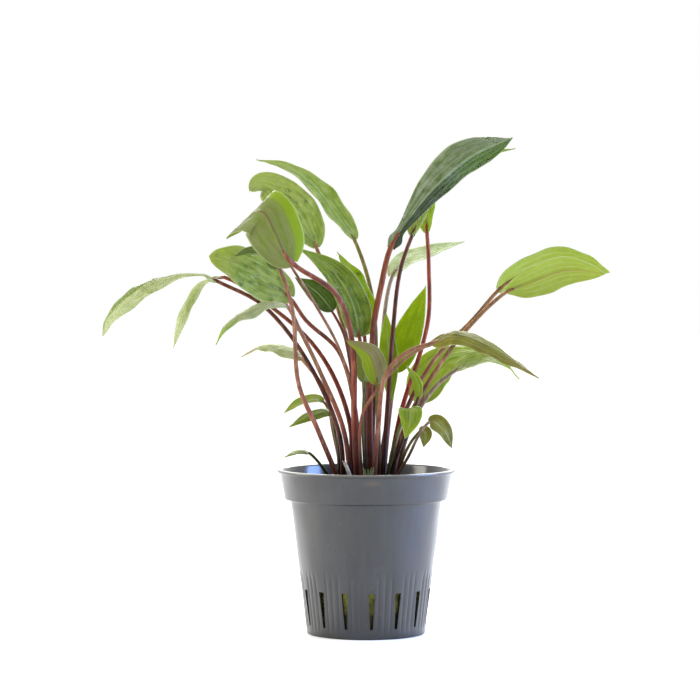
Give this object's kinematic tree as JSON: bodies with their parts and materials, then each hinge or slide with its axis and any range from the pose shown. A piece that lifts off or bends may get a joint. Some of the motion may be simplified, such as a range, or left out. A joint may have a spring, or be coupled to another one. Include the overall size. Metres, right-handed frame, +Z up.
{
  "type": "potted water plant",
  "caption": "Cryptocoryne, a rosette of stalked oval leaves growing from a short rootstock on a wool plug in a tapered grey net pot with slots round its foot.",
  "frame": {"origin": "centre of the pot's base, on the surface that it stands on", "axes": "+Z up along the pot's axis; -Y is the side that the picture shows; +X to the right in the picture"},
  "size_m": [0.1484, 0.072, 0.1444],
  "materials": {
    "pot_plastic": "moulded polypropylene, satin, wet in streaks",
    "growing_medium": "wet mineral wool, fibrous",
    "rootstock": "rough brown rootstock",
    "dry_stalk": "dry, whitish",
    "stalk": "smooth living leaf stalk, satin, wet",
    "leaf": "living leaf, smooth, wet, with veins",
    "young_leaf": "young living leaf, smooth, wet"
  },
  "bodies": {
    "root": {"pot": "pot_plastic", "growing_medium": "growing_medium", "rootstock": "rootstock", "old_stub": "dry_stalk", "stalk_01": "stalk", "stalk_02": "stalk", "stalk_03": "stalk", "stalk_04": "stalk", "stalk_05": "stalk", "stalk_06": "stalk", "stalk_07": "stalk", "stalk_08": "stalk", "stalk_09": "stalk", "stalk_10": "stalk", "stalk_11": "stalk", "stalk_12": "stalk", "stalk_13": "stalk", "stalk_14": "stalk", "stalk_15": "stalk", "stalk_16": "stalk", "stalk_17": "stalk", "stalk_18": "stalk", "stalk_19": "stalk", "stalk_20": "stalk", "stalk_21": "stalk", "stalk_22": "stalk", "leaf_01": "leaf", "leaf_02": "leaf", "leaf_03": "leaf", "leaf_04": "leaf", "leaf_05": "leaf", "leaf_06": "leaf", "leaf_07": "leaf", "leaf_08": "leaf", "leaf_09": "leaf", "leaf_10": "leaf", "leaf_11": "leaf", "leaf_12": "leaf", "leaf_13": "leaf", "leaf_14": "leaf", "leaf_15": "leaf", "leaf_16": "leaf", "leaf_17": "leaf", "leaf_18": "leaf", "leaf_19": "leaf", "leaf_20": "leaf", "leaf_21": "leaf", "leaf_22": "leaf", "young_leaf_01": "young_leaf", "young_leaf_02": "young_leaf", "young_leaf_03": "young_leaf", "young_leaf_04": "young_leaf", "young_leaf_05": "young_leaf", "young_leaf_06": "young_leaf", "young_leaf_07": "young_leaf", "young_leaf_08": "young_leaf", "young_leaf_09": "young_leaf", "young_leaf_10": "young_leaf", "young_leaf_11": "young_leaf", "young_leaf_12": "young_leaf"}
  },
  "joints": []
}
